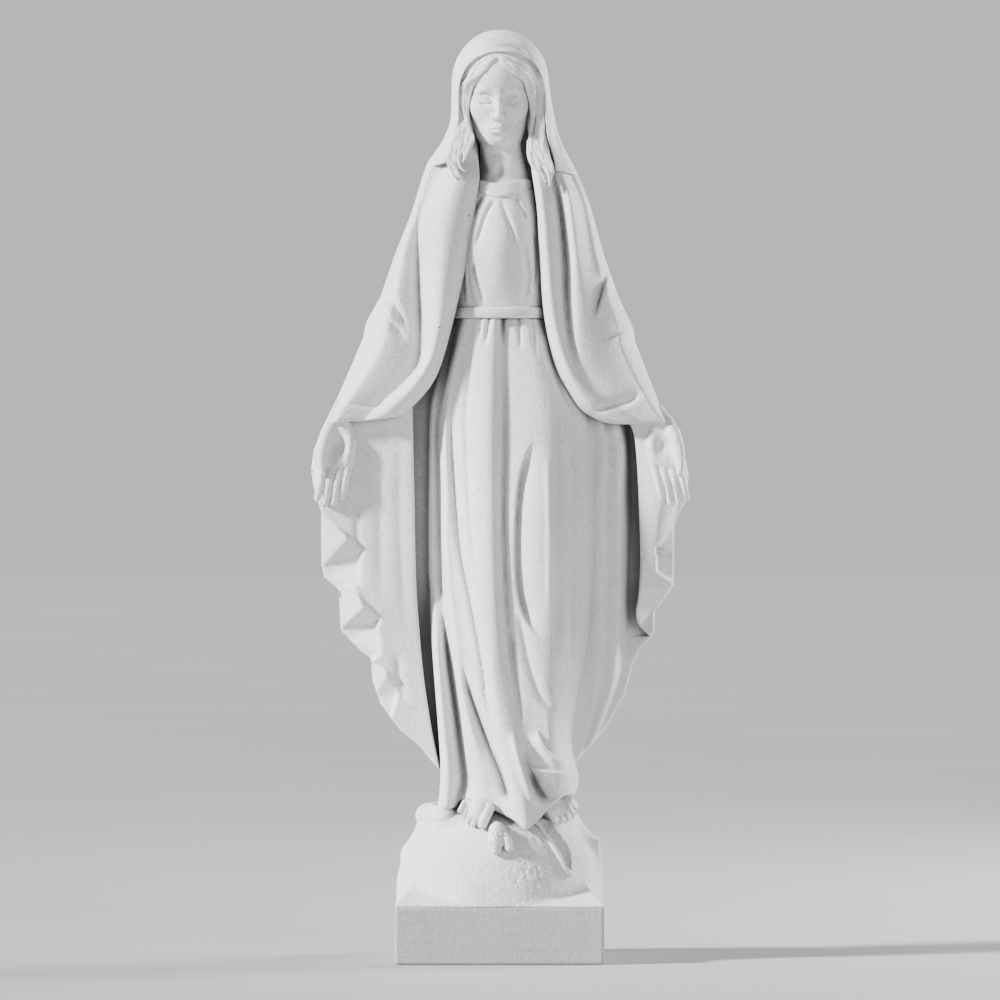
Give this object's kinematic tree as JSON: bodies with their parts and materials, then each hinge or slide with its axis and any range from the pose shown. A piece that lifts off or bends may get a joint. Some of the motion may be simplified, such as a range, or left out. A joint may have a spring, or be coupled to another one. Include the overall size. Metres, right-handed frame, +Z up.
{
  "type": "madonna statue",
  "caption": "Standing robed madonna with open hands, mantle and veil, on a globe with a serpent and a square base slab, cast in white marble composite.",
  "frame": {"origin": "centre of the base slab's underside", "axes": "+Z up, the figure faces -Y, the figure's right hand is at -X"},
  "size_m": [0.2438, 0.134, 0.6],
  "materials": {
    "stone": "matt fine-grained white marble composite, as cast",
    "steel": "plain drawn rod"
  },
  "bodies": {
    "root": {"base_slab": "stone", "globe": "stone", "serpent": "stone", "foot_right": "stone", "foot_left": "stone", "skirt": "stone", "girdle": "stone", "bodice": "stone", "collar": "stone", "mantle_back": "stone", "mantle_front_right": "stone", "mantle_front_left": "stone", "mantle_fall_right": "stone", "mantle_fall_left": "stone", "hand_right": "stone", "hand_left": "stone", "head": "stone", "hair": "stone", "veil": "stone", "reinforcing_rod": "steel"}
  },
  "joints": []
}
